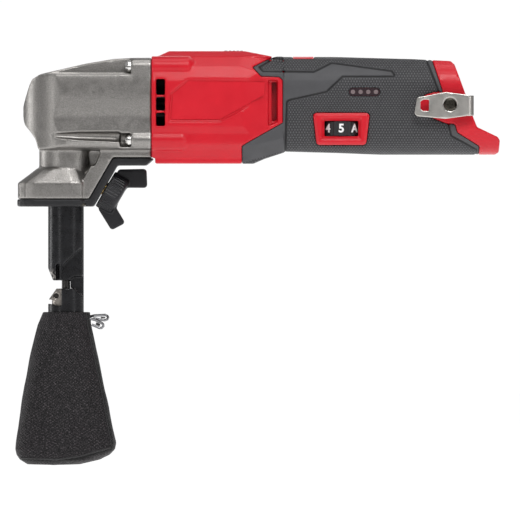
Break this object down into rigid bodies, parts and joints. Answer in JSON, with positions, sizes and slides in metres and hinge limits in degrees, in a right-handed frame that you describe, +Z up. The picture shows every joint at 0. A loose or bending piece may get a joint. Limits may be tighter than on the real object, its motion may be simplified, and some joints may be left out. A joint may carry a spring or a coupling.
{
  "type": "cordless nibbler",
  "caption": "Cordless sheet-metal nibbler: straight body with rubber grip, cast head, swivelling punch-and-die column with lock knob, and a fabric chip bag.",
  "frame": {"origin": "on the punch axis, at the cutting face of the die", "axes": "+Z up along the punch axis towards the head, +X from the head along the body to the battery foot, +Y to the tool's right-hand side seen from the foot's end towards the head"},
  "size_m": [0.2759, 0.0584, 0.2359],
  "materials": {
    "cast_case": "matte grey-coated die casting",
    "black_cover": "moulded, fine grain",
    "red_moulding": "satin glass-filled nylon",
    "grip_rubber": "matte, textured with raised dots",
    "red_trim": "satin",
    "gauge_window": "dark smoked",
    "gauge_leds": "unlit light-emitting diodes",
    "circuit_board": "solder-masked board",
    "black_plastic": "moulded nylon",
    "contact_brass": "stamped",
    "motor_steel": "laminated steel",
    "copper_winding": "enamelled copper",
    "bearing_steel": "ground steel",
    "cast_bracket": "die casting",
    "gear_steel": "hobbed and hardened steel",
    "bright_screws": "zinc-plated steel",
    "black_screws": "black-oxide steel",
    "clip_steel": "nickel-plated spring steel",
    "bushing_brass": "sintered bronze",
    "wire_insulation": "silicone insulation",
    "magnet": "nickel-plated magnet",
    "shaft_steel": "ground steel",
    "punch_steel": "hardened tool steel",
    "black_oxide": "black-oxide steel, satin",
    "die_steel": "ground and lightly blued tool steel",
    "bag_fabric": "woven black nylon",
    "clip_wire": "chrome-plated spring wire",
    "clip_sleeve": "dipped plastic",
    "knob_black": "moulded, satin",
    "dial_black": "moulded, with white moulded digits",
    "slide_black": "moulded, ribbed"
  },
  "bodies": {
    "tool_body": {"gear_case": "cast_case", "base_cover": "black_cover", "housing_left": "red_moulding", "housing_right": "red_moulding", "grip_left": "grip_rubber", "grip_right": "grip_rubber", "dial_bezel": "red_trim", "gauge_window": "gauge_window", "gauge_leds": "gauge_leds", "circuit_board": "circuit_board", "terminal_block": "black_plastic", "terminal_contacts": "contact_brass", "switch_body": "black_plastic", "motor_stator": "motor_steel", "motor_windings": "copper_winding", "motor_bearings": "bearing_steel", "bearing_plate": "cast_bracket", "ring_gear": "gear_steel", "crank_bearing": "bearing_steel", "swivel_washer": "bearing_steel", "gear_case_screws": "bright_screws", "housing_screws": "black_screws", "cover_screws": "black_screws", "belt_clip": "clip_steel", "belt_clip_screw": "black_screws", "lock_bushing": "bushing_brass", "grip_badge": "red_trim", "side_badge": "red_trim", "phase_wires": "wire_insulation", "dial_axle": "shaft_steel"},
    "rotor": {"rotor_core": "motor_steel", "rotor_magnets": "magnet", "motor_shaft": "shaft_steel", "cooling_fan": "black_plastic", "sun_pinion": "gear_steel"},
    "crank": {"crank_carrier": "gear_steel", "planet_pins": "shaft_steel", "crank_pin_clip": "bearing_steel"},
    "planet_1": {"planet_gear_1": "gear_steel"},
    "planet_2": {"planet_gear_2": "gear_steel"},
    "planet_3": {"planet_gear_3": "gear_steel"},
    "rod": {"connecting_rod": "gear_steel", "big_end_bearing": "bearing_steel", "wrist_pin": "shaft_steel"},
    "ram": {"plunger": "shaft_steel", "punch": "punch_steel", "punch_screw": "black_screws"},
    "die_head": {"die_holder": "black_oxide", "plunger_bushing": "bushing_brass", "die": "die_steel", "die_pin": "punch_steel"},
    "bag": {"chip_bag": "bag_fabric", "bag_clip": "clip_wire", "bag_clip_grips": "clip_sleeve"},
    "knob": {"lock_knob": "knob_black"},
    "pin": {"lock_pin": "shaft_steel"},
    "dial": {"speed_dial": "dial_black"},
    "slide_switch": {"power_slide": "slide_black"}
  },
  "joints": [
    {"name": "rotor_spin", "type": "hinge", "parent": "tool_body", "child": "rotor", "pos_m": [0.08, 0, 0.105], "axis": [1, 0, 0], "continuous": true},
    {"name": "crank_spin", "type": "hinge", "parent": "tool_body", "child": "crank", "pos_m": [0.02, 0, 0.105], "axis": [1, 0, 0], "continuous": true},
    {"name": "planet_1_spin", "type": "hinge", "parent": "crank", "child": "planet_1", "pos_m": [0.037, 0.01125, 0.105], "axis": [1, 0, 0], "continuous": true},
    {"name": "planet_2_spin", "type": "hinge", "parent": "crank", "child": "planet_2", "pos_m": [0.037, -0.00562, 0.11474], "axis": [1, 0, 0], "continuous": true},
    {"name": "planet_3_spin", "type": "hinge", "parent": "crank", "child": "planet_3", "pos_m": [0.037, -0.00562, 0.09526], "axis": [1, 0, 0], "continuous": true},
    {"name": "rod_swing", "type": "hinge", "parent": "crank", "child": "rod", "pos_m": [0, 0, 0.108], "axis": [1, 0, 0], "continuous": true},
    {"name": "punch_stroke", "type": "slide", "parent": "tool_body", "child": "ram", "axis": [0, 0, 1], "range_m": [-0.006, 0]},
    {"name": "die_swivel", "type": "hinge", "parent": "tool_body", "child": "die_head", "pos_m": [0, 0, 0.06], "axis": [0, 0, 1], "continuous": true},
    {"name": "bag_removal", "type": "slide", "parent": "die_head", "child": "bag", "axis": [0, 0, -1], "range_m": [0, 0.03]},
    {"name": "lock_knob_turn", "type": "hinge", "parent": "tool_body", "child": "knob", "pos_m": [0.022, 0, 0.0571], "axis": [0.866, 0, -0.5], "range_deg": [0, 90]},
    {"name": "lock_pin_lift", "type": "slide", "parent": "tool_body", "child": "pin", "axis": [0.866, 0, -0.5], "range_m": [0, 0.0024]},
    {"name": "speed_dial_turn", "type": "hinge", "parent": "tool_body", "child": "dial", "pos_m": [0.1568, -0.0112, 0.0909], "axis": [0, 0, 1], "range_deg": [-42, 168]},
    {"name": "power_slide_travel", "type": "slide", "parent": "tool_body", "child": "slide_switch", "axis": [1, 0, 0], "range_m": [-0.006, 0]}
  ],
  "couplings": [
    {"joint": "crank_spin", "follows": "rotor_spin", "ratio": 0.2},
    {"joint": "planet_1_spin", "follows": "rotor_spin", "ratio": -0.53333},
    {"joint": "planet_2_spin", "follows": "rotor_spin", "ratio": -0.53333},
    {"joint": "planet_3_spin", "follows": "rotor_spin", "ratio": -0.53333},
    {"joint": "rod_swing", "follows": "rotor_spin", "ratio": -0.2},
    {"joint": "lock_pin_lift", "follows": "lock_knob_turn", "m_per_rad": 0.0015279}
  ]
}
